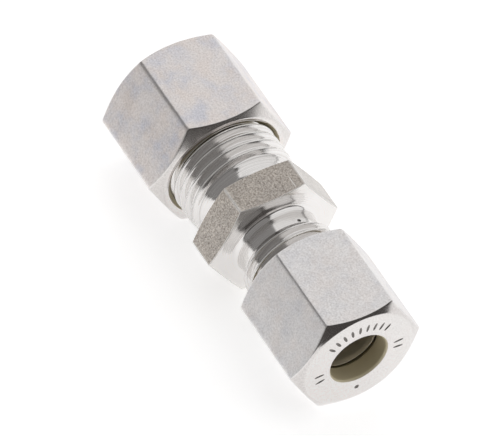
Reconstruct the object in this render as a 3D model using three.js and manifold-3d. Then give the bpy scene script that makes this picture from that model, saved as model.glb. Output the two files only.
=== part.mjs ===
// Straight reducing tube coupling with cutting rings: a hexagon body with two threaded stubs,
// a union nut on each stub and a loose cutting ring inside each nut.
// The tube axis lies along X with the smaller tube at +X, and +Z is up. Millimetres throughout.
import * as THREE from 'three';
import { mergeVertices } from 'three/addons/utils/BufferGeometryUtils.js';
import Module from 'manifold-3d';

const wasm = await Module();
wasm.setup();

// Whole coupling
const overallLength = 52;
const nutLength = 15.5;
const halfLength = overallLength / 2;

// Metric fine thread shared by both ends, right-handed, 60 degree profile
const pitch = 1.5;
const profileHeight = (pitch * Math.sqrt(3)) / 2;
const flankSlope = Math.tan(THREE.MathUtils.degToRad(30));
const stubFlankRelief = 0.05;
const nutFlankRelief = 0.09;
const crestRelief = 0.06;
const nutRootRelief = 0.12;
const ridgeSink = 0.4;
const stepsPerTurn = 32;

// Facets around turned faces, and around the finer hexagon chamfers
const turnedSegments = 32;
const chamferSegments = 48;

// Slopes of the cones: 24 degree sealing cone, 90 degree ring seat, 30 and 15 degree chamfers
const sealSlope = Math.tan(THREE.MathUtils.degToRad(12));
const nutChamferSlope = Math.tan(THREE.MathUtils.degToRad(30));
const bodyChamferSlope = Math.tan(THREE.MathUtils.degToRad(15));

// Body hexagon
const bodyAcrossFlats = 17;
const bodyHexStart = -1.95;
const bodyHexEnd = 3.35;
const bodyHexTurn = THREE.MathUtils.degToRad(4.25);
const bodyChamferRadius = 8.25;

// Through bore of the body: wide behind the larger tube, narrow behind the smaller one
const wideBoreRadius = 4;
const narrowBoreRadius = 3;
const boreStepPlace = 0.5;
const socketDepth = 7;

// One record per end; side is the direction of that end along X
const largeEnd = {
  side: -1,
  hexFace: bodyHexStart,
  threadRadius: 8,
  crestAtTop: -7.32,
  undercutRadius: 6.85,
  undercutLength: 2.65,
  stubLength: 11,
  mouthRadius: 6.15,
  socketRadius: 5.05,
  acrossFlats: 19,
  nutChamferRadius: 8.9,
  nutBoreRadius: 5.15,
  ringBoreRadius: 5.12,
  ringTipRadius: 5.57,
  ringCollarRadius: 6.9,
  ringTip: -13.1,
};
const smallEnd = {
  side: 1,
  hexFace: bodyHexEnd,
  threadRadius: 7,
  crestAtTop: 8.7,
  undercutRadius: 5.85,
  undercutLength: 2.97,
  stubLength: 10,
  mouthRadius: 5.05,
  socketRadius: 4.05,
  acrossFlats: 17,
  nutChamferRadius: 8,
  nutBoreRadius: 4.15,
  ringBoreRadius: 4.12,
  ringTipRadius: 4.49,
  ringCollarRadius: 5.9,
  ringTip: 13.4,
};

// Stub end, nut bore and ring details, the same at both ends
const stubEndChamfer = 0.9;
const nutLandLength = 2.5;
const nutRimChamfer = 0.25;
const nutMouthFlare = 0.45;
const nutReliefLength = 1.3;
const nutReliefDepth = 0.2;
const ringSeatGap = 0.3;
const ringSetback = 0.55;
const ringRearLip = 0.13;
const ringRearLeadIn = 0.6;
const ringCollarLength = 3.1;
const ringStepLength = 0.6;
const ringTaperLength = 4.2;
const ringGrooveDepth = 0.14;
const ringGrooveStart = 0.7;
const ringGrooveLength = 1.2;

// Overshoot of cutters past the faces they open
const overshoot = 1;
const mergeTolerance = 1e-4;

function toSolid(geometry) {
  const bare = geometry.clone();
  bare.deleteAttribute('normal');
  bare.deleteAttribute('uv');
  const merged = mergeVertices(bare, mergeTolerance);
  const corners = merged.index.array;
  const kept = [];
  for (let i = 0; i < corners.length; i += 3) {
    const [a, b, c] = [corners[i], corners[i + 1], corners[i + 2]];
    if (a !== b && b !== c && c !== a) kept.push(a, b, c);
  }
  return new wasm.Manifold(
    new wasm.Mesh({
      numProp: 3,
      vertProperties: Float32Array.from(merged.attributes.position.array),
      triVerts: Uint32Array.from(kept),
    }),
  );
}

function toMesh(name, solid, material) {
  const { vertProperties, triVerts } = solid.getMesh();
  const geometry = new THREE.BufferGeometry();
  geometry.setAttribute('position', new THREE.BufferAttribute(vertProperties, 3));
  geometry.setIndex(new THREE.BufferAttribute(triVerts, 1));
  geometry.computeVertexNormals();
  const mesh = new THREE.Mesh(geometry, material);
  mesh.name = name;
  return mesh;
}

// Body of revolution about X from [x, radius] points that start and end on the axis,
// or that come back to the first point
function turned(points, segments = turnedSegments) {
  const outline = points.map(([x, radius]) => new THREE.Vector2(radius, x));
  if (THREE.ShapeUtils.area(outline) < 0) outline.reverse();
  return toSolid(new THREE.LatheGeometry(outline, segments).rotateZ(-Math.PI / 2));
}

// Hexagonal bar along X; at turn 0 it has corners at +Y and -Y and flats at the top and bottom
function hexBar(acrossFlats, start, end, turn) {
  const cornerRadius = acrossFlats / Math.sqrt(3);
  const outline = new THREE.Shape();
  for (let corner = 0; corner < 6; corner += 1) {
    const angle = Math.PI / 2 + turn + (corner * Math.PI) / 3;
    const place = [cornerRadius * Math.cos(angle), cornerRadius * Math.sin(angle)];
    if (corner === 0) outline.moveTo(...place);
    else outline.lineTo(...place);
  }
  outline.closePath();
  const bar = new THREE.ExtrudeGeometry(outline, { depth: end - start, bevelEnabled: false });
  return toSolid(bar.rotateY(Math.PI / 2).translate(start, 0, 0));
}

// Hexagonal bar with both ends turned to a cone that starts at chamferRadius on each face
function chamferedHex(acrossFlats, start, end, turn, chamferRadius, slope) {
  const reach = acrossFlats / Math.sqrt(3) + overshoot;
  const drop = (reach - chamferRadius) * slope;
  const envelope = turned(
    [
      [start, 0],
      [start, chamferRadius],
      [start + drop, reach],
      [end - drop, reach],
      [end, chamferRadius],
      [end, 0],
    ],
    chamferSegments,
  );
  return hexBar(acrossFlats, start, end, turn).intersect(envelope);
}

// Right-handed helix about X that stays at one radius; x is its place where it crosses the top
class ThreadHelix extends THREE.Curve {
  constructor(radius, x, firstTurn, turns) {
    super();
    Object.assign(this, { radius, x, firstTurn, turns });
    this.arcLengthDivisions = turns * stepsPerTurn;
  }

  // Angle from +Y towards +Z; a quarter turn is the top
  angleAt(t) {
    return 2 * Math.PI * (this.firstTurn + t * this.turns);
  }

  getPoint(t, target = new THREE.Vector3()) {
    const angle = this.angleAt(t);
    const x = this.x + pitch * (angle / (2 * Math.PI) - 0.25);
    return target.set(x, this.radius * Math.cos(angle), this.radius * Math.sin(angle));
  }

  // Frames that keep the section upright: its first direction is always radial
  computeFrenetFrames(segments) {
    const frames = { tangents: [], normals: [], binormals: [] };
    for (let i = 0; i <= segments; i += 1) {
      const angle = this.angleAt(i / segments);
      frames.tangents.push(new THREE.Vector3(0, -Math.sin(angle), Math.cos(angle)));
      frames.normals.push(new THREE.Vector3(0, Math.cos(angle), Math.sin(angle)));
      frames.binormals.push(new THREE.Vector3(-1, 0, 0));
    }
    return frames;
  }
}

// Half the width of the basic thread ridge at a radius
function ridgeHalfWidth(threadRadius, radius) {
  return pitch / 4 + (threadRadius - (3 / 8) * profileHeight - radius) * flankSlope;
}

// Helical bar of trapezoid section that covers the stretch from start to end along X
function threadBar(end, from, to, baseRadius, topRadius, widening) {
  const baseHalf = ridgeHalfWidth(end.threadRadius, baseRadius) + widening;
  const topHalf = ridgeHalfWidth(end.threadRadius, topRadius) + widening;
  const section = new THREE.Shape();
  section.moveTo(-ridgeSink, -baseHalf);
  section.lineTo(0, -baseHalf);
  section.lineTo(topRadius - baseRadius, -topHalf);
  section.lineTo(topRadius - baseRadius, topHalf);
  section.lineTo(0, baseHalf);
  section.lineTo(-ridgeSink, baseHalf);
  section.closePath();
  const firstTurn = Math.floor((from - end.crestAtTop) / pitch) - 1;
  const turns = Math.ceil((to - from) / pitch) + 2;
  const extrudePath = new ThreadHelix(baseRadius, end.crestAtTop, firstTurn, turns);
  const steps = turns * stepsPerTurn;
  return toSolid(new THREE.ExtrudeGeometry(section, { steps, extrudePath }));
}

function stubFace(end) {
  return end.hexFace + end.side * end.stubLength;
}

// Threaded stub: undercut against the hexagon, run-out cone, thread and end chamfer
function threadedStub(end) {
  const { side, hexFace, threadRadius, undercutRadius, undercutLength } = end;
  const rootRadius = threadRadius - (17 / 24) * profileHeight;
  const crestRadius = threadRadius - crestRelief;
  const face = stubFace(end);
  const coneStart = hexFace + side * undercutLength;
  const rootStart = coneStart + side * (rootRadius - undercutRadius);
  const crestStart = coneStart + side * (crestRadius - undercutRadius);
  const tipRadius = threadRadius - stubEndChamfer;
  const core = turned([
    [hexFace - side * overshoot, 0],
    [hexFace - side * overshoot, undercutRadius],
    [coneStart, undercutRadius],
    [rootStart, rootRadius],
    [face, rootRadius],
    [face, 0],
  ]);
  const envelope = turned([
    [coneStart, 0],
    [coneStart, undercutRadius],
    [crestStart, crestRadius],
    [face - side * (crestRadius - tipRadius), crestRadius],
    [face, tipRadius],
    [face, 0],
  ]);
  const low = Math.min(coneStart, face);
  const high = Math.max(coneStart, face);
  const ridge = threadBar(end, low, high, rootRadius, crestRadius, -stubFlankRelief);
  return core.add(ridge.intersect(envelope));
}

// Cone mouth, tube socket and its stop, as one cutter that reaches into the hexagon
function socketCutter(end) {
  const { side, mouthRadius, socketRadius } = end;
  const face = stubFace(end);
  const coneLength = (mouthRadius - socketRadius) / sealSlope;
  const stop = face - side * socketDepth;
  return turned([
    [face + side * overshoot, 0],
    [face + side * overshoot, mouthRadius + overshoot * sealSlope],
    [face - side * coneLength, socketRadius],
    [stop, socketRadius],
    [stop, 0],
  ]);
}

function throughBore() {
  const wideStop = stubFace(largeEnd) + socketDepth;
  const narrowStop = stubFace(smallEnd) - socketDepth;
  const stepLength = wideBoreRadius - narrowBoreRadius;
  return turned([
    [wideStop - overshoot, 0],
    [wideStop - overshoot, wideBoreRadius],
    [boreStepPlace, wideBoreRadius],
    [boreStepPlace + stepLength, narrowBoreRadius],
    [narrowStop + overshoot, narrowBoreRadius],
    [narrowStop + overshoot, 0],
  ]);
}

function couplingBody() {
  const hexagon = chamferedHex(
    bodyAcrossFlats,
    bodyHexStart,
    bodyHexEnd,
    bodyHexTurn,
    bodyChamferRadius,
    bodyChamferSlope,
  );
  return hexagon
    .add(threadedStub(largeEnd))
    .add(threadedStub(smallEnd))
    .subtract(socketCutter(largeEnd))
    .subtract(socketCutter(smallEnd))
    .subtract(throughBore());
}

// Inside of a nut: tube bore, 90 degree ring seat, thread relief, thread bore and mouth flare
function nutBore(end, outerFace, innerFace) {
  const { side, threadRadius, nutBoreRadius } = end;
  const boreRadius = threadRadius - (5 / 8) * profileHeight;
  const reliefRadius = threadRadius + nutReliefDepth;
  const mouthRadius = threadRadius + nutMouthFlare;
  const seatStart = outerFace - side * nutLandLength;
  const seatEnd = seatStart - side * (boreRadius - nutBoreRadius);
  const reliefEnd = seatEnd - side * nutReliefLength;
  return turned([
    [outerFace + side * overshoot, 0],
    [outerFace + side * overshoot, nutBoreRadius + nutRimChamfer + overshoot],
    [outerFace - side * nutRimChamfer, nutBoreRadius],
    [seatStart, nutBoreRadius],
    [seatEnd, boreRadius],
    [seatEnd, reliefRadius],
    [reliefEnd, reliefRadius],
    [reliefEnd - side * (reliefRadius - boreRadius), boreRadius],
    [innerFace + side * (mouthRadius - boreRadius), boreRadius],
    [innerFace - side * overshoot, mouthRadius + overshoot],
    [innerFace - side * overshoot, 0],
  ]);
}

// Helical groove of the nut's thread, stopped inside the relief so that it leaves no sliver
function nutThreadGroove(end, outerFace, innerFace) {
  const { side, threadRadius, nutBoreRadius } = end;
  const boreRadius = threadRadius - (5 / 8) * profileHeight;
  const grooveRadius = threadRadius + nutRootRelief;
  const seatEnd = outerFace - side * (nutLandLength + boreRadius - nutBoreRadius);
  const reliefMiddle = seatEnd - (side * nutReliefLength) / 2;
  const low = Math.min(innerFace, reliefMiddle);
  const high = Math.max(innerFace, reliefMiddle);
  const groove = threadBar(end, low, high, boreRadius, grooveRadius, nutFlankRelief);
  const reach = grooveRadius + overshoot;
  const stretch = turned([
    [reliefMiddle, 0],
    [reliefMiddle, reach],
    [innerFace - side * overshoot, reach],
    [innerFace - side * overshoot, 0],
  ]);
  return groove.intersect(stretch);
}

function unionNut(end) {
  const outerFace = end.side * halfLength;
  const innerFace = outerFace - end.side * nutLength;
  const low = Math.min(outerFace, innerFace);
  const high = Math.max(outerFace, innerFace);
  return chamferedHex(end.acrossFlats, low, high, 0, end.nutChamferRadius, nutChamferSlope)
    .subtract(nutBore(end, outerFace, innerFace))
    .subtract(nutThreadGroove(end, outerFace, innerFace));
}

// Loose ring: 24 degree front taper with a cutting edge, collar, and a 90 degree rear cone
function cuttingRing(end) {
  const { side, ringBoreRadius, ringTipRadius, ringCollarRadius, ringTip, nutBoreRadius } = end;
  const rear = side * (halfLength - nutLandLength - ringSetback);
  const rearRadius = nutBoreRadius + ringSetback - ringSeatGap;
  const collarStart = rear - side * (ringCollarRadius - rearRadius);
  const collarEnd = collarStart - side * ringCollarLength;
  const taperStart = ringTip + side * ringTaperLength;
  const taperRadius = ringTipRadius + ringTaperLength * sealSlope;
  const grooveStart = ringTip + side * ringGrooveStart;
  const grooveEnd = grooveStart + side * ringGrooveLength;
  const grooveRadius = ringBoreRadius + ringGrooveDepth;
  return turned([
    [rear, ringBoreRadius + ringRearLip],
    [rear, rearRadius],
    [collarStart, ringCollarRadius],
    [collarEnd, ringCollarRadius],
    [collarEnd - side * ringStepLength, taperRadius],
    [taperStart, taperRadius],
    [ringTip, ringTipRadius],
    [ringTip, ringBoreRadius],
    [grooveStart, ringBoreRadius],
    [grooveStart, grooveRadius],
    [grooveEnd, ringBoreRadius],
    [rear - side * ringRearLeadIn, ringBoreRadius],
    [rear, ringBoreRadius + ringRearLip],
  ]);
}

function satinSteel(color, roughness) {
  return new THREE.MeshStandardMaterial({ color, roughness, metalness: 1 });
}

const coupling = new THREE.Group();
coupling.add(
  toMesh('coupling_body', couplingBody(), satinSteel(0x918b84, 0.35)),
  toMesh('large_union_nut', unionNut(largeEnd), satinSteel(0xbbb6b2, 0.45)),
  toMesh('small_union_nut', unionNut(smallEnd), satinSteel(0xc0bfc2, 0.45)),
  toMesh('large_cutting_ring', cuttingRing(largeEnd), satinSteel(0xa8a296, 0.3)),
  toMesh('small_cutting_ring', cuttingRing(smallEnd), satinSteel(0xa8a296, 0.3)),
);

export default coupling;
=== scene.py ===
# Straight reducing tube coupling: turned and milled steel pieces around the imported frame.
# Piece sizes are in millimetres, as on a drawing; meshes are written in metres.
import math

import bmesh
import bpy
import numpy as np
from mathutils import Matrix, Vector


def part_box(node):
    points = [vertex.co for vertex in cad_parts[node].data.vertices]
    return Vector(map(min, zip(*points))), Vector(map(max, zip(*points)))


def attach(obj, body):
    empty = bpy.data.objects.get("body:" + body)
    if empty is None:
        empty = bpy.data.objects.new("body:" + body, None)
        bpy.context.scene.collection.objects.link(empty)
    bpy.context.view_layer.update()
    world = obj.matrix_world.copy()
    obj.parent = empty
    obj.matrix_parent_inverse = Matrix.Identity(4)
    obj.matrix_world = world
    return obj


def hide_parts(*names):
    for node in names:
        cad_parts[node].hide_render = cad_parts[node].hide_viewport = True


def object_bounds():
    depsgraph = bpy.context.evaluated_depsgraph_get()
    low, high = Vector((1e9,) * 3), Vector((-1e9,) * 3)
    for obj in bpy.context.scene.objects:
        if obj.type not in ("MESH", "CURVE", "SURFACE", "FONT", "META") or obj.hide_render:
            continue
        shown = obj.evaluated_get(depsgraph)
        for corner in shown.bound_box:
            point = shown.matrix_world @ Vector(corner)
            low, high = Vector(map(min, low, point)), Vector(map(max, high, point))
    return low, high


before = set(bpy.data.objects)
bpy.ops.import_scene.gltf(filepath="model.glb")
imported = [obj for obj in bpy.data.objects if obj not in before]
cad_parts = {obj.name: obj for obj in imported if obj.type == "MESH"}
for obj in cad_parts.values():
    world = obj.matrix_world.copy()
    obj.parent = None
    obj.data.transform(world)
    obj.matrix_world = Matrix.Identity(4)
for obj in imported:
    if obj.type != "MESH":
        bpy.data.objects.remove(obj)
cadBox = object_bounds()
millimetre = 0.001


def nodeBox(node):
    low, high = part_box(node)
    return np.array(low) / millimetre, np.array(high) / millimetre


# the thread form that the stubs and the nuts share
thread = {
    "pitch": 1.5,
    "flankAngle": math.radians(30),
    "pitchDepth": 3 / 8,  # depths below the nominal radius, as shares of the full profile
    "nutCrestDepth": 5 / 8,
    "stubRootDepth": 17 / 24,
    "stubFlankRelief": 0.05,
    "nutFlankRelief": 0.09,
    "crestRelief": 0.06,
    "nutRootRelief": 0.12,
    "crestRounding": 0.02,
    "rootRounding": 0.02,
    "endRounding": 0.02,  # where a thread meets its run-out and its end chamfer
    "stubRows": 20,  # rows in one pitch
    "nutRows": 12,
    "fullRidge": 0.3,  # height at which the painted crest highlight and the painted root shade are at full strength
    "crestPaintedHighlight": 0.09,  # half width of the painted highlight line on a crest
    "rootPaintedShade": (0.64, 0.74),  # from the crest, where the painted shade in the root starts and where it is full
    # strength of the painted shade in the thread roots
    "rootPaintedShadeStrength": 0.5,
}
profileHeight = thread["pitch"] * math.sqrt(3) / 2

# the end of the coupling that each tube size goes into; side is its direction along X and
# crestAtTop is where a crest passes the top of the stub
ends = {
    "large": {
        "side": -1,
        "threadRadius": 8.0,
        "crestAtTop": -7.32,
        "ringBore": 5.12,
        "nutBore": 5.15,
    },
    "small": {
        "side": 1,
        "threadRadius": 7.0,
        "crestAtTop": 8.7,
        "ringBore": 4.12,
        "nutBore": 4.15,
    },
}
sealSlope = math.tan(math.radians(12))  # half of the 24 degree sealing cone
cornerClearance = 0.3  # how far an uncut outline stands outside a hexagon's corners
flatEdge = (-0.02, 0.05)  # how far outside a flat the outline is as its finish takes over
mergeDistance = 1e-6  # metres
sliverLength = 1e-7


def softMin(a, b, rounding):
    return -rounding * np.logaddexp(-a / rounding, -b / rounding)


def softMax(a, b, rounding):
    return rounding * np.logaddexp(a / rounding, b / rounding)


def smoothStep(values, low, high):
    t = np.clip((values - low) / (high - low), 0, 1)
    return t * t * (3 - 2 * t)


# directions of a hexagon's six flats; turn is the angle of its first corner
def flatAngles(turn):
    return turn + math.radians(30) + np.arange(6) * math.radians(60)


# angles round the axis, closer together at the hexagon's corners
def hexColumns(turn, perFlat):
    spread = np.sin(np.linspace(-math.pi / 2, math.pi / 2, perFlat, endpoint=False))
    return (flatAngles(turn)[:, None] + spread[None, :] * math.radians(30)).ravel()


def roundColumns(count):
    return np.linspace(0, 2 * math.pi, count, endpoint=False)


# distance from the axis to the hexagon, with its corners slightly rounded
def hexRadius(angles, acrossFlats, turn, sharpness):
    facing = np.maximum(np.cos(angles[:, None] - flatAngles(turn)[None, :]), 0)
    return acrossFlats / 2 / np.sum(facing**sharpness, axis=1) ** (1 / sharpness)


# how far each angle is from the nearest hexagon corner
def cornerAngle(angles, turn):
    third = math.radians(60)
    return np.abs((angles - turn + third / 2) % third - third / 2)


# rows of a turned outline from corners given as (x, radius, rounding, spacing after it)
def outlineRows(corners, closed=False, arcSteps=6, mostOfSide=0.45):
    points = [np.array(c[:2], float) for c in corners]
    count = len(points)
    parts = []
    for i, (corner, point) in enumerate(zip(corners, points)):
        rounding = corner[2]
        atEnd = not closed and i in (0, count - 1)
        if rounding <= 0 or atEnd:
            parts.append([point])
            continue
        before, after = points[i - 1], points[(i + 1) % count]
        backLength = np.linalg.norm(before - point)
        aheadLength = np.linalg.norm(after - point)
        reach = min(rounding, mostOfSide * backLength, mostOfSide * aheadLength)
        start = point + (before - point) / backLength * reach
        end = point + (after - point) / aheadLength * reach
        steps = np.linspace(0, 1, arcSteps + 1)[:, None]
        arc = (1 - steps) ** 2 * start + 2 * steps * (1 - steps) * point + steps**2 * end
        parts.append(list(arc))
    rows = []
    for i, part in enumerate(parts):
        rows.extend(part)
        if i == count - 1 and not closed:
            break
        here, there = part[-1], parts[(i + 1) % count][0]
        pieces = max(1, math.ceil(np.linalg.norm(there - here) / corners[i][3]))
        rows.extend(here + (there - here) * k / pieces for k in range(1, pieces))
    return np.array(rows)


# one zone of a piece: points by row and column, its quads, and what its surface is
def turnedZone(rows, angles, hexagon=None, closed=False, inside=0.0, openAt=()):
    x = np.repeat(rows[:, :1], len(angles), axis=1)
    radius = np.repeat(rows[:, 1:], len(angles), axis=1)
    onFlat = np.zeros_like(x)
    edge = np.zeros_like(x)
    if hexagon is not None:
        limit = hexRadius(angles, hexagon["acrossFlats"], hexagon["turn"], hexagon["sharpness"])
        above = radius - limit[None, :]
        radius = softMin(radius, limit[None, :], hexagon["arcRounding"])
        onFlat = smoothStep(above, *flatEdge)
        # edge wear and painted highlight: a light line along the hexagon's corners and where the
        # flats meet the chamfer
        corner = radius * cornerAngle(angles, hexagon["turn"])[None, :]
        edge = np.exp(-((corner / hexagon["edgeWidth"]) ** 2)) * onFlat
        edge = np.maximum(edge, np.exp(-((above / hexagon["edgeWidth"]) ** 2)))
    count, columns = x.shape
    quads = []
    for row in range(count if closed else count - 1):
        following = (row + 1) % count
        for column in range(columns):
            beside = (column + 1) % columns
            quads.append(((row, column), (following, column), (following, beside), (row, beside)))
    return {
        "x": x,
        "radius": radius,
        "angles": angles,
        "quads": quads,
        "onFlat": onFlat,
        "edgeWearAndPaintedHighlight": edge,
        "inside": np.where(np.isin(x, openAt), 0, inside),
        "punched": np.zeros_like(x),
    }


# a threaded zone whose rows follow the helix, so that each crest is one smooth line
def helicalZone(
    start, end, radii, crestAtTop, angles, rowsPerPitch, radiusAt, inside=0.0, openAt=()
):
    pitch = thread["pitch"]
    lead = pitch * (angles - math.pi / 2) / (2 * math.pi)
    step = pitch / rowsPerPitch
    first = math.floor((start - lead.max() - crestAtTop) / step) - 1
    last = math.ceil((end - lead.min() - crestAtTop) / step) + 1
    rowPlaces = np.arange(first, last + 1) * step
    x = np.clip(crestAtTop + rowPlaces[:, None] + lead[None, :], start, end)
    offset = np.abs((rowPlaces + pitch / 2) % pitch - pitch / 2)[:, None]
    radius = radiusAt(x, offset)
    radius = np.where(x <= start, radii[0], np.where(x >= end, radii[1], radius))
    count, columns = x.shape
    quads = []
    for row in range(count - 1):
        for column in range(columns):
            shift = 0 if column < columns - 1 else rowsPerPitch
            beside, besideRow = (column + 1) % columns, row + shift
            if besideRow + 1 >= count:
                continue
            quad = ((row, column), (row + 1, column), (besideRow + 1, beside), (besideRow, beside))
            places = [x[place] for place in quad]
            if max(places) > start and min(places) < end:
                quads.append(quad)
    onThread = np.clip((radius - min(radii)) / thread["fullRidge"], 0, 1)
    # painted highlight: a light line along each crest, stored with the edge wear
    crestPaintedHighlight = np.exp(-((offset / thread["crestPaintedHighlight"]) ** 2)) * onThread
    # painted shade: darker towards each root, stored with the marks' shade
    rootPaintedShade = smoothStep(offset, *thread["rootPaintedShade"]) * thread["rootPaintedShadeStrength"] * onThread
    return {
        "x": x,
        "radius": radius,
        "angles": angles,
        "quads": quads,
        "onFlat": np.zeros_like(x),
        "edgeWearAndPaintedHighlight": crestPaintedHighlight * (1 - inside),
        "inside": np.where(np.isin(x, openAt), 0, inside),
        "punched": rootPaintedShade * (1 - inside),
    }


# what the surface is at each point, from 0 to 1: edge wear with painted highlight, and painted
# shade in the marks and thread roots; the steel finishes read these
surfaceMarks = ("onFlat", "edgeWearAndPaintedHighlight", "inside", "punched")


# joins the zones of one piece into a closed mesh in metres
def makeMesh(name, zones):
    shape = bmesh.new()
    layers = {mark: shape.verts.layers.float.new(mark) for mark in surfaceMarks}
    for zone in zones:
        x, radius, angles = zone["x"], zone["radius"], zone["angles"]
        y = radius * np.cos(angles)[None, :]
        z = radius * np.sin(angles)[None, :]
        used = sorted({place for quad in zone["quads"] for place in quad})
        verts = {}
        for place in used:
            spot = (x[place], y[place], z[place])
            vert = shape.verts.new([millimetre * value for value in spot])
            for mark, layer in layers.items():
                vert[layer] = zone[mark][place]
            verts[place] = vert
        for quad in zone["quads"]:
            shape.faces.new([verts[place] for place in quad])
    bmesh.ops.remove_doubles(shape, verts=shape.verts, dist=mergeDistance)
    bmesh.ops.dissolve_degenerate(shape, edges=shape.edges, dist=sliverLength)
    bmesh.ops.recalc_face_normals(shape, faces=shape.faces)
    openEdges = sum(1 for edge in shape.edges if len(edge.link_faces) != 2)
    mesh = bpy.data.meshes.new(name)
    shape.to_mesh(mesh)
    shape.free()
    mesh.shade_smooth()
    print(f"{name}: {len(mesh.polygons)} faces, {openEdges} open edges")
    return mesh


def addObject(name, mesh, material):
    mesh.materials.clear()
    mesh.materials.append(material)
    piece = bpy.data.objects.new(name, mesh)
    bpy.context.scene.collection.objects.link(piece)
    return piece


def addNode(tree, kind, inputs=None, **settings):
    node = tree.nodes.new(kind)
    for name, value in settings.items():
        setattr(node, name, value)
    for name, value in (inputs or {}).items():
        if isinstance(value, bpy.types.NodeSocket):
            tree.links.new(value, node.inputs[name])
        else:
            node.inputs[name].default_value = value
    return node


def maths(tree, operation, *values):
    inputs = dict(enumerate(values))
    return addNode(tree, "ShaderNodeMath", inputs, operation=operation).outputs[0]


def remap(tree, value, low, high, newLow=0.0, newHigh=1.0):
    inputs = {
        "Value": value,
        "From Min": low,
        "From Max": high,
        "To Min": newLow,
        "To Max": newHigh,
    }
    return addNode(tree, "ShaderNodeMapRange", inputs).outputs[0]


def blendColour(tree, amount, first, second):
    inputs = {0: amount, 6: first, 7: second}
    return addNode(tree, "ShaderNodeMix", inputs, data_type="RGBA").outputs[2]


def blendValue(tree, amount, first, second):
    inputs = {0: amount, 2: first, 3: second}
    return addNode(tree, "ShaderNodeMix", inputs, data_type="FLOAT").outputs[0]


def noise(tree, vector, scale, detail=2.0, roughness=0.5):
    inputs = {"Vector": vector, "Scale": scale, "Detail": detail, "Roughness": roughness}
    return addNode(tree, "ShaderNodeTexNoise", inputs).outputs[0]


def surfaceMark(tree, name):
    return addNode(tree, "ShaderNodeAttribute", attribute_name=name).outputs["Fac"]


# what the steel of each piece looks like; depths and chamferFrom are in metres
nutLook = {
    "flat": (0.765, 0.75, 0.755, 1),
    "coolTint": (0.735, 0.735, 0.77, 1),
    "warmTint": (0.79, 0.74, 0.72, 1),
    "grainDark": (0.52, 0.50, 0.485, 1),
    "grainLight": (0.98, 0.965, 0.96, 1),
    "grainAmount": 0.5,
    "cloudScale": 400.0,
    "cloudDetail": 4.0,
    "grainScale": 4200.0,
    "grainDepth": 0.000012,
    "flatRoughness": (0.33, 0.43),
    "turned": (0.765, 0.745, 0.73, 1),
    "turnedRoughness": (0.10, 0.18),
    "turnedGrain": 0.26,
    "latheDepth": 0.0000012,
    "chamferFrom": 0.008,  # distance from the axis where the chamfer's finish and painted shade start
    # painted shade: the chamfer's turned steel made darker
    "chamfer": (0.62, 0.59, 0.575, 1),
    "chamferRoughness": 0.14,
    # edge wear and painted highlight on the corners and the thread crests
    "wearAndPaintedHighlight": (0.93, 0.92, 0.91, 1),
    "wearAndPaintedHighlightAmount": 0.35,
    "wearAndPaintedHighlightLeast": 0.4,
    "wearAndPaintedHighlightMetallic": 1.0,
    "gloss": 0.0,
}
largeNutLook = dict(
    nutLook,
    flat=(0.775, 0.715, 0.70, 1),
    coolTint=(0.60, 0.61, 0.715, 1),
    warmTint=(0.79, 0.69, 0.64, 1),
    cloudScale=340.0,
    chamferFrom=0.0089,
    chamferRoughness=0.24,
    # painted shade on the chamfer
    chamfer=(0.66, 0.63, 0.61, 1),
)
bodyLook = {
    "flat": (0.42, 0.37, 0.33, 1),
    "coolTint": (0.39, 0.36, 0.335, 1),
    "warmTint": (0.47, 0.405, 0.335, 1),
    "grainDark": (0.15, 0.125, 0.105, 1),
    "grainLight": (0.72, 0.665, 0.605, 1),
    "grainAmount": 0.8,
    "cloudScale": 260.0,
    "cloudDetail": 3.0,
    "grainScale": 4600.0,
    "grainDepth": 0.000014,
    "flatRoughness": (0.36, 0.46),
    "turned": (0.88, 0.865, 0.855, 1),
    "turnedRoughness": (0.13, 0.21),
    "turnedGrain": 0.05,
    "latheDepth": 0.0000015,
    "chamferFrom": 0.00825,
    # painted shade on the chamfer
    "chamfer": (0.80, 0.78, 0.76, 1),
    "chamferRoughness": 0.2,
    # edge wear and painted highlight on the corners and the thread crests
    "wearAndPaintedHighlight": (1.0, 0.98, 0.95, 1),
    "wearAndPaintedHighlightAmount": 1.0,
    "wearAndPaintedHighlightLeast": 0.8,
    "wearAndPaintedHighlightMetallic": 0.0,
    "gloss": 0.7,
}
# the rings are turned all over, so the flats' finish and the chamfer's finish and painted shade
# never show on them
ringLook = dict(
    nutLook,
    warmTint=(0.7, 0.64, 0.55, 1),
    grainDark=(0.4, 0.38, 0.35, 1),
    grainLight=(0.9, 0.88, 0.85, 1),
    cloudScale=240.0,
    cloudDetail=3.0,
    grainScale=3600.0,
    turned=(0.86, 0.83, 0.76, 1),
    turnedRoughness=(0.16, 0.24),
    turnedGrain=0.1,
    chamferFrom=0.02,
    # edge wear and painted highlight on the corners
    wearAndPaintedHighlight=(0.9, 0.88, 0.84, 1),
    wearAndPaintedHighlightAmount=0.3,
)
# the dull oxide film left inside the nuts
filmLook = {
    "colour": (0.62, 0.55, 0.38, 1),
    "metallic": 0.25,
    "roughness": 0.5,
}
# painted shade at the bottom of punched marks and towards the thread roots
paintedShadeColour = (0.10, 0.09, 0.08, 1)
# a hairline scratch on one flat of the body, in metres
bodyScratch = {
    "centre": (0.0019, 0.00286, 0.0),
    "halfLength": 0.0011,
    "halfWidth": 0.00009,
    "tipFade": 0.6,  # share of its length where it starts to fade
    "colour": (1.0, 0.97, 0.93, 1),
}
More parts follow.
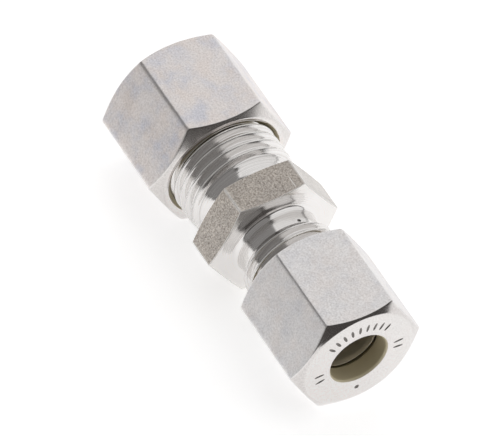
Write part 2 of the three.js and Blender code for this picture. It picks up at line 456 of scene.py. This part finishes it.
# the patterns that every finish shares; a range is the part of the noise that becomes 0 to 1
patterns = {
    "cloudRange": (0.43, 0.66),
    "warmShift": (0.03, 0.011, 0.02),  # metres, so that warm clouds lie beside the cool ones
    "grainDetail": 3.0,
    "grainRoughness": 0.65,
    "grainRange": (0.33, 0.67),
    "latheScale": 9000.0,
    "latheDetail": 2.0,
    "latheRange": (0.3, 0.7),
    "latheShade": 0.25,
    "chamferFade": 0.0003,  # metres
    "wearAndPaintedHighlightScale": 900.0,
    "wearAndPaintedHighlightRange": (0.35, 0.65),
    "polishScale": 500.0,
    "polishRange": (0.3, 0.7),
    "glossRoughness": 0.2,
}


# the scratch as a mask: a line along X that fades to its tips and edges, on the upper side only
def hairlineMask(tree, place, scratch):
    moved = addNode(
        tree,
        "ShaderNodeMapping",
        {"Vector": place, "Location": scratch["centre"]},
        vector_type="TEXTURE",
    )
    along = addNode(tree, "ShaderNodeSeparateXYZ", {0: moved.outputs[0]}).outputs
    length, width = scratch["halfLength"], scratch["halfWidth"]
    fadeStart = length * scratch["tipFade"]
    onLength = remap(tree, maths(tree, "ABSOLUTE", along[0]), length, fadeStart)
    onWidth = remap(tree, maths(tree, "ABSOLUTE", along[1]), width, 0.0)
    upperSide = maths(tree, "GREATER_THAN", along[2], 0.0)
    return maths(tree, "MULTIPLY", maths(tree, "MULTIPLY", onLength, onWidth), upperSide)


# steel with two finishes: onFlat is the milled hexagon, the rest is fresh from the lathe
def steelFinish(name, look, scratch=None):
    material = bpy.data.materials.new(name)
    material.use_nodes = True
    tree = material.node_tree
    shader = tree.nodes["Principled BSDF"]
    shader.inputs["Coat Weight"].default_value = look["gloss"]
    shader.inputs["Coat Roughness"].default_value = patterns["glossRoughness"]
    place = addNode(tree, "ShaderNodeTexCoord").outputs["Object"]
    onFlat = surfaceMark(tree, "onFlat")
    edge = surfaceMark(tree, "edgeWearAndPaintedHighlight")
    inside = surfaceMark(tree, "inside")

    clouds = look["cloudScale"], look["cloudDetail"]
    coolCloud = remap(tree, noise(tree, place, *clouds), *patterns["cloudRange"])
    warmShift = {"Vector": place, "Location": patterns["warmShift"]}
    warmPlace = addNode(tree, "ShaderNodeMapping", warmShift).outputs[0]
    warmCloud = remap(tree, noise(tree, warmPlace, *clouds), *patterns["cloudRange"])
    grainDetail, grainRoughness = patterns["grainDetail"], patterns["grainRoughness"]
    grain = noise(tree, place, look["grainScale"], grainDetail, grainRoughness)
    speckleShare = remap(tree, grain, *patterns["grainRange"])
    speckle = blendColour(tree, speckleShare, look["grainDark"], look["grainLight"])

    flat = blendColour(tree, coolCloud, look["flat"], look["coolTint"])
    flat = blendColour(tree, warmCloud, flat, look["warmTint"])
    flat = blendColour(tree, look["grainAmount"], flat, speckle)

    # turning lines: rings at each place along the axis and at each distance from it
    parts = addNode(tree, "ShaderNodeSeparateXYZ", {0: place})
    across = addNode(tree, "ShaderNodeCombineXYZ", {1: parts.outputs[1], 2: parts.outputs[2]})
    distance = addNode(tree, "ShaderNodeVectorMath", {0: across.outputs[0]}, operation="LENGTH")
    travel = maths(tree, "ADD", parts.outputs[0], distance.outputs["Value"])
    lines = addNode(
        tree,
        "ShaderNodeTexNoise",
        {"W": travel, "Scale": patterns["latheScale"], "Detail": patterns["latheDetail"]},
        noise_dimensions="1D",
    ).outputs[0]
    lineShade = remap(tree, lines, *patterns["latheRange"], 0.0, patterns["latheShade"])
    turned = blendColour(tree, lineShade, look["turned"], look["grainDark"])
    turned = blendColour(tree, look["turnedGrain"], turned, speckle)
    softClouds = maths(tree, "MULTIPLY", warmCloud, look["turnedGrain"])
    turned = blendColour(tree, softClouds, turned, look["warmTint"])
    # painted shade: past chamferFrom the turned steel takes the darker chamfer colour, with its
    # own roughness
    chamferStart = look["chamferFrom"]
    chamferFull = chamferStart + patterns["chamferFade"]
    onChamfer = remap(tree, distance.outputs["Value"], chamferStart, chamferFull)
    chamfer = blendColour(tree, look["turnedGrain"], look["chamfer"], speckle)
    turned = blendColour(tree, onChamfer, turned, chamfer)

    colour = blendColour(tree, onFlat, turned, flat)
    colour = blendColour(tree, inside, colour, filmLook["colour"])
    # edge wear and painted highlight: a light colour in patches along the corners and the crests
    wearAndPaintedHighlightNoise = noise(tree, place, patterns["wearAndPaintedHighlightScale"])
    wearAndPaintedHighlightPatches = remap(tree, wearAndPaintedHighlightNoise, *patterns["wearAndPaintedHighlightRange"], look["wearAndPaintedHighlightLeast"], 1.0)
    wearAndPaintedHighlight = maths(tree, "MULTIPLY", maths(tree, "MULTIPLY", edge, wearAndPaintedHighlightPatches), look["wearAndPaintedHighlightAmount"])
    colour = blendColour(tree, wearAndPaintedHighlight, colour, look["wearAndPaintedHighlight"])
    # painted shade from the punched attribute, in the marks and the thread roots
    colour = blendColour(tree, surfaceMark(tree, "punched"), colour, paintedShadeColour)
    if scratch:
        hairline = maths(tree, "MULTIPLY", hairlineMask(tree, place, scratch), onFlat)
        colour = blendColour(tree, hairline, colour, scratch["colour"])
        wearAndPaintedHighlight = maths(tree, "MAXIMUM", wearAndPaintedHighlight, hairline)
    tree.links.new(colour, shader.inputs["Base Color"])

    flatRough = remap(tree, coolCloud, 0.0, 1.0, *look["flatRoughness"])
    polish = noise(tree, place, patterns["polishScale"])
    turnedRough = remap(tree, polish, *patterns["polishRange"], *look["turnedRoughness"])
    turnedRough = blendValue(tree, onChamfer, turnedRough, look["chamferRoughness"])
    roughness = blendValue(tree, onFlat, turnedRough, flatRough)
    roughness = blendValue(tree, inside, roughness, filmLook["roughness"])
    tree.links.new(roughness, shader.inputs["Roughness"])
    metallic = blendValue(tree, wearAndPaintedHighlight, 1.0, look["wearAndPaintedHighlightMetallic"])
    metallic = blendValue(tree, inside, metallic, filmLook["metallic"])
    tree.links.new(metallic, shader.inputs["Metallic"])

    latheBump = addNode(
        tree,
        "ShaderNodeBump",
        {
            "Height": lines,
            "Strength": maths(tree, "SUBTRACT", 1.0, onFlat),
            "Distance": look["latheDepth"],
        },
    )
    grainBump = addNode(
        tree,
        "ShaderNodeBump",
        {
            "Height": grain,
            "Strength": onFlat,
            "Distance": look["grainDepth"],
            "Normal": latheBump.outputs[0],
        },
    )
    tree.links.new(grainBump.outputs[0], shader.inputs["Normal"])
    return material


nutSteel = {
    "large": steelFinish("warmNutSteel", largeNutLook),
    "small": steelFinish("satinNutSteel", nutLook),
}
bodySteel = steelFinish("grainedBodySteel", bodyLook, bodyScratch)
ringSteel = steelFinish("brightRingSteel", ringLook)
print("steel finishes made")


# the inputs of the Geometry Nodes tool that punches plain marks
markInputs = {
    "Count": "NodeSocketInt",
    "First Angle": "NodeSocketFloat",
    "Spread": "NodeSocketFloat",
    "Place": "NodeSocketFloat",
    "Radius": "NodeSocketFloat",
    "Mark Size": "NodeSocketVector",
    "Darkness": "NodeSocketFloat",
    "Full Depth": "NodeSocketFloat",
    "Finish": "NodeSocketMaterial",
}
markShape = {"Segments": 20, "Rings": 12, "Radius": 0.5}  # one across, so Mark Size is its size
markShadeDepth = 1 / 4  # share of a mark's least size at which its painted shade is darkest


# presses a row of rounded strokes into a piece, along an arc round the axis
def markTree():
    tree = bpy.data.node_groups.new("punchMarks", "GeometryNodeTree")
    tree.interface.new_socket("Geometry", in_out="INPUT", socket_type="NodeSocketGeometry")
    for name, kind in markInputs.items():
        tree.interface.new_socket(name, in_out="INPUT", socket_type=kind)
    tree.interface.new_socket("Geometry", in_out="OUTPUT", socket_type="NodeSocketGeometry")
    given = addNode(tree, "NodeGroupInput").outputs
    gaps = maths(tree, "MAXIMUM", maths(tree, "SUBTRACT", given["Count"], 1.0), 1.0)
    number = addNode(tree, "GeometryNodeInputIndex").outputs[0]
    share = maths(tree, "DIVIDE", number, gaps)
    sweep = maths(tree, "MULTIPLY", share, given["Spread"])
    angle = maths(tree, "ADD", given["First Angle"], sweep)
    spot = addNode(
        tree,
        "ShaderNodeCombineXYZ",
        {
            "X": given["Place"],
            "Y": maths(tree, "MULTIPLY", given["Radius"], maths(tree, "COSINE", angle)),
            "Z": maths(tree, "MULTIPLY", given["Radius"], maths(tree, "SINE", angle)),
        },
    )
    places = {"Count": given["Count"], "Position": spot.outputs[0]}
    points = addNode(tree, "GeometryNodePoints", places)
    stroke = addNode(tree, "GeometryNodeMeshUVSphere", markShape)
    fromTop = maths(tree, "SUBTRACT", angle, math.pi / 2)
    turned = addNode(tree, "ShaderNodeCombineXYZ", {"X": fromTop})
    strokes = addNode(
        tree,
        "GeometryNodeInstanceOnPoints",
        {
            "Points": points.outputs[0],
            "Instance": stroke.outputs[0],
            "Rotation": turned.outputs[0],
            "Scale": given["Mark Size"],
        },
    )
    punches = addNode(tree, "GeometryNodeRealizeInstances", {"Geometry": strokes.outputs[0]})
    # painted shade: dark at the bottom of a stroke, clean at its edge
    surface = addNode(
        tree,
        "GeometryNodeProximity",
        {"Geometry": given["Geometry"]},
        target_element="FACES",
    )
    depth = maths(tree, "DIVIDE", surface.outputs["Distance"], given["Full Depth"])
    shade = maths(tree, "MULTIPLY", maths(tree, "MINIMUM", depth, 1.0), given["Darkness"])
    shaded = addNode(
        tree,
        "GeometryNodeStoreNamedAttribute",
        {"Geometry": punches.outputs[0], "Name": "punched", "Value": shade},
    )
    cut = addNode(
        tree,
        "GeometryNodeMeshBoolean",
        {"Mesh 1": given["Geometry"], "Mesh 2": shaded.outputs[0]},
        operation="DIFFERENCE",
        solver="MANIFOLD",
    )
    solid = addNode(tree, "GeometryNodeRealizeInstances", {"Geometry": cut.outputs[0]})
    finished = addNode(
        tree,
        "GeometryNodeSetMaterial",
        {"Geometry": solid.outputs[0], "Material": given["Finish"]},
    )
    addNode(tree, "NodeGroupOutput", {"Geometry": finished.outputs[0]})
    return tree


# runs the tool once for each row of marks and leaves a plain mesh
def punchMarks(piece, rows, crispAngle=None):
    for name, row in rows.items():
        modifier = piece.modifiers.new(name, "NODES")
        modifier.node_group = punchTool
        values = {
            "Count": row["count"],
            "First Angle": math.radians(row["firstAngle"]),
            "Spread": math.radians(row["spread"]),
            "Place": row["place"] * millimetre,
            "Radius": row["radius"] * millimetre,
            "Mark Size": [size * millimetre for size in row["size"]],
            "Darkness": row["darkness"],
            "Full Depth": min(row["size"]) * millimetre * markShadeDepth,
            "Finish": piece.data.materials[0],
        }
        for socket in punchTool.interface.items_tree:
            if socket.in_out == "INPUT" and socket.name in values:
                modifier[socket.identifier] = values[socket.name]
    evaluated = piece.evaluated_get(bpy.context.evaluated_depsgraph_get())
    punched = bpy.data.meshes.new_from_object(evaluated)
    piece.modifiers.clear()
    if crispAngle:
        punched.set_sharp_from_angle(angle=crispAngle)
    piece.data = punched
    piece.data.name = piece.name
    print(f"{piece.name}: marks punched, {len(punched.polygons)} faces")


punchTool = markTree()


# the hexagon with its two stubs
body = {
    "hexStart": -1.95,
    "hexEnd": 3.35,
    "acrossFlats": 17.0,
    "turn": math.radians(4.25),
    "sharpness": 420,  # how sharp the hexagon's corners are
    "arcRounding": 0.05,  # between the chamfer and a flat
    "edgeWidth": 0.13,  # half width of the line of wear and painted highlight on an edge
    "chamferRadius": 8.25,
    "chamferSlope": math.tan(math.radians(15)),
    "undercut": {"large": (6.85, 2.65), "small": (5.85, 2.97)},  # radius and length
    "fillet": {"large": 0.5, "small": 1.0},
    # length and height of the bank beside the hexagon
    "undercutRise": {"large": (1.4, 0.25), "small": (2.2, 0.01)},
    "bankRounding": 0.5,
    "runOutRounding": {"large": 0.15, "small": 0.03},  # between the undercut and the thread
    "runOutReach": {"large": 0.5, "small": 0.15},  # how far the rounding spreads on the undercut
    "mouthRadius": {"large": 6.15, "small": 5.05},
    "socketRadius": {"large": 5.05, "small": 4.05},
    "socketDepth": 7.0,
    "endChamfer": 1.0,
    "wideBore": 4.0,
    "narrowBore": 3.0,
    "boreStep": 0.5,
    "boreFilm": 0.3,  # how much of the dull film lies in the bore
    "perFlat": 30,
}
# a pit in the small undercut; size is along, round and out from the axis
bodyMarks = {
    "pit": {
        "count": 1,
        "firstAngle": 71,
        "spread": 0,
        "place": 5.85,
        "radius": 5.85,
        "size": (0.5, 0.55, 0.4),
        # darkness of the painted shade in the pit
        "darkness": 1.0,
    },
}


# radius of a thread's flank at a distance along the axis from the crest
def basicFlank(radius, offset, relief):
    pitchRadius = radius - thread["pitchDepth"] * profileHeight
    return pitchRadius + (thread["pitch"] / 4 - relief - offset) / math.tan(thread["flankAngle"])


# the threaded stretch of one stub, from the undercut to the stub's face
def stubZone(end, faceX, coneX, angles):
    side, radius = ends[end]["side"], ends[end]["threadRadius"]
    undercutRadius = body["undercut"][end][0]
    tipRadius = radius - body["endChamfer"]
    rootRadius = radius - thread["stubRootDepth"] * profileHeight
    crestRadius = radius - thread["crestRelief"]

    def radiusAt(x, offset):
        flank = basicFlank(radius, offset, thread["stubFlankRelief"])
        ridge = softMin(flank, crestRadius, thread["crestRounding"])
        ridge = softMax(ridge, rootRadius, thread["rootRounding"])
        runOut = undercutRadius + softMax(side * (x - coneX), 0, body["runOutRounding"][end])
        endChamfer = tipRadius + side * (faceX - x)
        ending = softMin(runOut, endChamfer, thread["endRounding"])
        return softMin(ridge, ending, thread["endRounding"])

    floorEdge = coneX - side * body["runOutReach"][end]
    low, high = min(faceX, floorEdge), max(faceX, floorEdge)
    radii = (undercutRadius, tipRadius) if side > 0 else (tipRadius, undercutRadius)
    crest = ends[end]["crestAtTop"]
    return helicalZone(low, high, radii, crest, angles, thread["stubRows"], radiusAt)


def buildBody():
    low, high = nodeBox("coupling_body")
    faces = {"large": low[0], "small": high[0]}
    hexFaces = {"large": body["hexStart"], "small": body["hexEnd"]}
    angles = hexColumns(body["turn"], body["perFlat"])
    reach = body["acrossFlats"] / math.sqrt(3) + cornerClearance
    chamferDrop = (reach - body["chamferRadius"]) * body["chamferSlope"]
    cones, banks = {}, {}
    for end, (floorRadius, undercutLength) in body["undercut"].items():
        side = ends[end]["side"]
        length, height = body["undercutRise"][end]
        cones[end] = hexFaces[end] + side * undercutLength
        floorEdge = cones[end] - side * body["runOutReach"][end]
        banks[end] = [
            (floorEdge, floorRadius, 0, 0.1),
            (hexFaces[end] + side * length, floorRadius, body["bankRounding"], 0.1),
            (hexFaces[end], floorRadius + height, body["fillet"][end], 0.2),
        ]
    outside = outlineRows(
        banks["large"]
        + [
            (body["hexStart"], body["chamferRadius"], 0.1, 0.05),
            (body["hexStart"] + chamferDrop, reach, 0, 0.5),
            (body["hexEnd"] - chamferDrop, reach, 0, 0.05),
            (body["hexEnd"], body["chamferRadius"], 0.1, 0.2),
        ]
        + banks["small"][::-1]
    )
    ways = {}
    for end in ends:
        side = ends[end]["side"]
        mouth, socket = body["mouthRadius"][end], body["socketRadius"][end]
        stop = faces[end] - side * body["socketDepth"]
        passage = body["narrowBore"] if end == "small" else body["wideBore"]
        ways[end] = [
            (faces[end], ends[end]["threadRadius"] - body["endChamfer"], 0, 0.3),
            (faces[end], mouth, 0.1, 0.4),
            (faces[end] - side * (mouth - socket) / sealSlope, socket, 0.2, 0.8),
            (stop, socket, 0.05, 0.4),
            (stop, passage, 0.1, 0.8),
        ]
    step = body["wideBore"] - body["narrowBore"]
    middle = [
        (body["boreStep"] + step, body["narrowBore"], 0.3, 0.4),
        (body["boreStep"], body["wideBore"], 0.3, 0.8),
    ]
    bore = outlineRows(ways["small"] + middle + ways["large"][::-1])
    zones = [
        turnedZone(outside, angles, body),
        turnedZone(bore, angles, inside=body["boreFilm"], openAt=tuple(faces.values())),
        stubZone("large", faces["large"], cones["large"], angles),
        stubZone("small", faces["small"], cones["small"], angles),
    ]
    piece = addObject("bodyWithStubs", makeMesh("bodyWithStubs", zones), bodySteel)
    punchMarks(piece, bodyMarks)
    return piece


# the two union nuts
nuts = {
    "large": {"node": "large_union_nut", "chamferRadius": 8.9, "sharpness": 82},
    "small": {"node": "small_union_nut", "chamferRadius": 8.0, "sharpness": 105},
    "chamferSlope": math.tan(math.radians(30)),
    "landLength": 2.5,
    "rimChamfer": 0.25,
    "mouthFlare": 0.45,
    "reliefLength": 1.3,
    "reliefDepth": 0.2,
    "arcRounding": 0.07,
    "edgeWidth": 0.2,
    "faceRounding": 0.3,
    "boreFilm": 1.0,
    "crispAngle": math.radians(50),  # edges of punched marks steeper than this stay sharp
    "perFlat": 36,
}
# strokes on the small nut's tube side; size is along, round and out from the axis
nutMarks = {
    "topRow": {"count": 9, "firstAngle": 136, "spread": -88, "size": (0.3, 0.4, 1.4)},
    "rightPair": {"count": 2, "firstAngle": 5, "spread": -11, "size": (0.3, 0.4, 1.5)},
    "leftPair": {"count": 2, "firstAngle": 196, "spread": -12, "size": (0.3, 0.4, 1.5)},
    "lowDot": {"count": 1, "firstAngle": 271, "spread": 0, "size": (0.3, 0.7, 0.7)},
}
nutMarkRadius = 5.95
# darkness of the painted shade in the strokes
nutMarkDarkness = 0.9


def buildNut(end):
    nut, side = nuts[end], ends[end]["side"]
    low, high = nodeBox(nut["node"])
    outerFace, innerFace = (high[0], low[0]) if side > 0 else (low[0], high[0])
    acrossFlats = high[2] - low[2]
    angles = hexColumns(0.0, nuts["perFlat"])
    hexagon = {
        "acrossFlats": acrossFlats,
        "turn": 0.0,
        "sharpness": nut["sharpness"],
        "arcRounding": nuts["arcRounding"],
        "edgeWidth": nuts["edgeWidth"],
    }
    radius = ends[end]["threadRadius"]
    tubeBore = ends[end]["nutBore"]
    boreRadius = radius - thread["nutCrestDepth"] * profileHeight
    reliefRadius = radius + nuts["reliefDepth"]
    mouthRadius = radius + nuts["mouthFlare"]
    rim = tubeBore + nuts["rimChamfer"]
    reach = acrossFlats / math.sqrt(3) + cornerClearance
    drop = side * (reach - nut["chamferRadius"]) * nuts["chamferSlope"]
    seatStart = outerFace - side * nuts["landLength"]
    seatEnd = seatStart - side * (boreRadius - tubeBore)
    reliefEnd = seatEnd - side * nuts["reliefLength"]
    outside = outlineRows(
        [
            (innerFace, mouthRadius, 0, 0.2),
            (innerFace, nut["chamferRadius"], 0.12, 0.06),
            (innerFace + drop, reach, 0, 0.5),
            (outerFace - drop, reach, 0, 0.06),
            (outerFace, nut["chamferRadius"], nuts["faceRounding"], 0.2),
            (outerFace, rim, 0, 0.2),
        ]
    )
    bore = outlineRows(
        [
            (outerFace, rim, 0, 0.1),
            (outerFace - side * nuts["rimChamfer"], tubeBore, 0.1, 0.4),
            (seatStart, tubeBore, 0.08, 0.4),
            (seatEnd, boreRadius, 0, 0.4),
            (seatEnd, reliefRadius, 0.1, 0.4),
            (reliefEnd, reliefRadius, 0, 0.4),
        ]
    )

    def radiusAt(x, offset):
        flank = basicFlank(radius, offset, -thread["nutFlankRelief"])
        groove = softMin(flank, radius + thread["nutRootRelief"], thread["rootRounding"])
        groove = softMax(groove, boreRadius, thread["crestRounding"])
        flare = mouthRadius - side * (x - innerFace)
        runOut = reliefRadius - side * (reliefEnd - x)
        ending = softMax(flare, runOut, thread["endRounding"])
        return softMax(groove, ending, thread["endRounding"])

    low, high = min(innerFace, reliefEnd), max(innerFace, reliefEnd)
    radii = (mouthRadius, reliefRadius) if side > 0 else (reliefRadius, mouthRadius)
    crest, rows, film = ends[end]["crestAtTop"], thread["nutRows"], nuts["boreFilm"]
    zones = [
        turnedZone(outside, angles, hexagon),
        turnedZone(bore, angles, inside=film, openAt=(outerFace,)),
        helicalZone(low, high, radii, crest, angles, rows, radiusAt, film, (innerFace,)),
    ]
    name = end + "Nut"
    piece = addObject(name, makeMesh(name, zones), nutSteel[end])
    if end == "small":
        shared = {"place": outerFace, "radius": nutMarkRadius, "darkness": nutMarkDarkness}
        marks = {key: dict(row, **shared) for key, row in nutMarks.items()}
        punchMarks(piece, marks, nuts["crispAngle"])
    return piece


# the two cutting rings; rear is towards the tube, the tip sits in the cone
rings = {
    "large": {"node": "large_cutting_ring", "tipRadius": 5.57, "collarRadius": 6.9},
    "small": {"node": "small_cutting_ring", "tipRadius": 4.49, "collarRadius": 5.9},
    "rearLip": 0.13,
    "rearEdge": 0.25,  # how far the rear face reaches past the nut's bore
    "rearLeadIn": 0.6,
    "collarLength": 3.1,
    "stepLength": 0.6,
    "taperLength": 4.2,
    "grooveDepth": 0.14,
    "grooveStart": 0.7,
    "grooveLength": 1.2,
    "film": 0.35,
    "columns": 128,
}


def buildRing(end):
    ring, side = rings[end], ends[end]["side"]
    low, high = nodeBox(ring["node"])
    rear, tip = (high[0], low[0]) if side > 0 else (low[0], high[0])
    bore = ends[end]["ringBore"]
    rearRadius = ends[end]["nutBore"] + rings["rearEdge"]
    collarStart = rear - side * (ring["collarRadius"] - rearRadius)
    collarEnd = collarStart - side * rings["collarLength"]
    taperRadius = ring["tipRadius"] + rings["taperLength"] * sealSlope
    grooveStart = tip + side * rings["grooveStart"]
    rows = outlineRows(
        [
            (rear, bore + rings["rearLip"], 0.06, 0.1),
            (rear, rearRadius, 0.06, 0.3),
            (collarStart, ring["collarRadius"], 0.2, 0.5),
            (collarEnd, ring["collarRadius"], 0.2, 0.2),
            (collarEnd - side * rings["stepLength"], taperRadius, 0.2, 0.5),
            (tip + side * rings["taperLength"], taperRadius, 0.3, 0.5),
            (tip, ring["tipRadius"], 0.05, 0.2),
            (tip, bore, 0.03, 0.2),
            (grooveStart, bore, 0.03, 0.1),
            (grooveStart, bore + rings["grooveDepth"], 0.03, 0.2),
            (grooveStart + side * rings["grooveLength"], bore, 0.1, 0.5),
            (rear - side * rings["rearLeadIn"], bore, 0.2, 0.2),
        ],
        closed=True,
    )
    angles = roundColumns(rings["columns"])
    zones = [turnedZone(rows, angles, closed=True, inside=rings["film"])]
    name = end + "Ring"
    return addObject(name, makeMesh(name, zones), ringSteel)


# each piece with the body it rides on, the node it replaces and its slot
pieces = [
    (buildBody(), "body", "coupling_body", "body_steel"),
    (buildNut("large"), "large_nut", "large_union_nut", "nut_steel"),
    (buildNut("small"), "small_nut", "small_union_nut", "nut_steel"),
    (buildRing("large"), "large_ring", "large_cutting_ring", "ring_steel"),
    (buildRing("small"), "small_ring", "small_cutting_ring", "ring_steel"),
]
for piece, bodyName, node, slot in pieces:
    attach(piece, bodyName)
    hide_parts(node)
print("pieces placed")


# the floor, the lights and the room; lengths are in metres and powers in watts
studio = {
    "floorX": (-0.25, 0.1),  # the pale sheet under the part
    "floorY": (-0.28, 0.4),
    "floorGap": 0.00005,
    "floorColour": (0.8, 0.8, 0.8, 1),
    "floorPale": (0.94, 0.94, 0.94, 1),
    "floorPatches": 8.0,
    "floorPatchRange": (0.3, 0.7),
    "floorRoughness": 0.8,
    "floorGlow": 0.62,
    "floorGlowColour": (1, 1, 1, 1),
    "roomShade": (0.075, 0.07, 0.067, 1),
    "backgroundShade": (0.95, 0.95, 0.95, 1),
    "lights": {
        # name: (towards, distance, width, height, power)
        "sideBox": ((-0.08, 0.66, 0.75), 0.6, 1.6, 1.26, 5.05),
        "fillBox": ((-0.08, -0.74, 0.67), 0.6, 1.6, 1.0, 0.9),
        "endBox": ((-0.93, 0.05, 0.3), 1.0, 0.9, 0.5, 1.0),
    },
}


def buildFloor():
    (left, right), (front, back) = studio["floorX"], studio["floorY"]
    height = cadBox[0][2] - studio["floorGap"]
    mesh = bpy.data.meshes.new("floor")
    corners = [(left, front), (right, front), (right, back), (left, back)]
    mesh.from_pydata([(x, y, height) for x, y in corners], [], [(0, 1, 2, 3)])
    material = bpy.data.materials.new("paleFloor")
    material.use_nodes = True
    tree = material.node_tree
    shader = tree.nodes["Principled BSDF"]
    place = addNode(tree, "ShaderNodeTexCoord").outputs["Object"]
    patches = noise(tree, place, studio["floorPatches"])
    shade = remap(tree, patches, *studio["floorPatchRange"])
    colour = blendColour(tree, shade, studio["floorColour"], studio["floorPale"])
    tree.links.new(colour, shader.inputs["Base Color"])
    shader.inputs["Roughness"].default_value = studio["floorRoughness"]
    shader.inputs["Emission Color"].default_value = studio["floorGlowColour"]
    shader.inputs["Emission Strength"].default_value = studio["floorGlow"]
    floor = addObject("floor", mesh, material)


def buildLights():
    for name, (towards, distance, width, height, power) in studio["lights"].items():
        lamp = bpy.data.lights.new(name, "AREA")
        lamp.shape = "RECTANGLE"
        lamp.size, lamp.size_y = width, height
        lamp.energy = power
        lampObject = bpy.data.objects.new(name, lamp)
        direction = Vector(towards).normalized()
        lampObject.location = direction * distance
        lampObject.visible_camera = False
        lampObject.rotation_mode = "QUATERNION"
        lampObject.rotation_quaternion = direction.to_track_quat("Z", "Y")
        bpy.context.scene.collection.objects.link(lampObject)
    world = bpy.data.worlds.new("room")
    world.use_nodes = True
    tree = world.node_tree
    tree.nodes.clear()
    path = addNode(tree, "ShaderNodeLightPath")
    room = addNode(tree, "ShaderNodeBackground", {"Color": studio["roomShade"]})
    backdrop = addNode(tree, "ShaderNodeBackground", {"Color": studio["backgroundShade"]})
    either = addNode(
        tree,
        "ShaderNodeMixShader",
        {0: path.outputs["Is Camera Ray"], 1: room.outputs[0], 2: backdrop.outputs[0]},
    )
    addNode(tree, "ShaderNodeOutputWorld", {"Surface": either.outputs[0]})
    bpy.context.scene.world = world


# angles in degrees, distances in metres, sensor and lens in millimetres
viewpoint = {
    "azimuth": 57.38,  # 0 looks along +Y, and +X is on the right
    "elevation": 50.48,
    "roll": 4.79,
    "distance": 0.955,
    "aim": (-0.00138, -0.00264, 0.00059),
    "sensor": 36.0,
    "lens": 538.8,
    "nearest": 0.01,
    "farthest": 20.0,
}


def buildCamera():
    camera = bpy.data.cameras.new("camera")
    camera.sensor_width = viewpoint["sensor"]
    camera.lens = viewpoint["lens"]
    camera.clip_start, camera.clip_end = viewpoint["nearest"], viewpoint["farthest"]
    cameraObject = bpy.data.objects.new("camera", camera)
    turn = Matrix.Rotation(math.radians(viewpoint["azimuth"]), 4, "Z")
    tilt = Matrix.Rotation(math.radians(90 - viewpoint["elevation"]), 4, "X")
    roll = Matrix.Rotation(math.radians(viewpoint["roll"]), 4, "Z")
    facing = turn @ tilt @ roll
    back = facing.to_3x3() @ Vector((0, 0, 1))
    place = Vector(viewpoint["aim"]) + back * viewpoint["distance"]
    cameraObject.matrix_world = Matrix.Translation(place) @ facing
    bpy.context.scene.collection.objects.link(cameraObject)
    bpy.context.scene.camera = cameraObject


buildFloor()
buildLights()
buildCamera()
bpy.context.scene.view_settings.view_transform = "Standard"
print("studio ready")
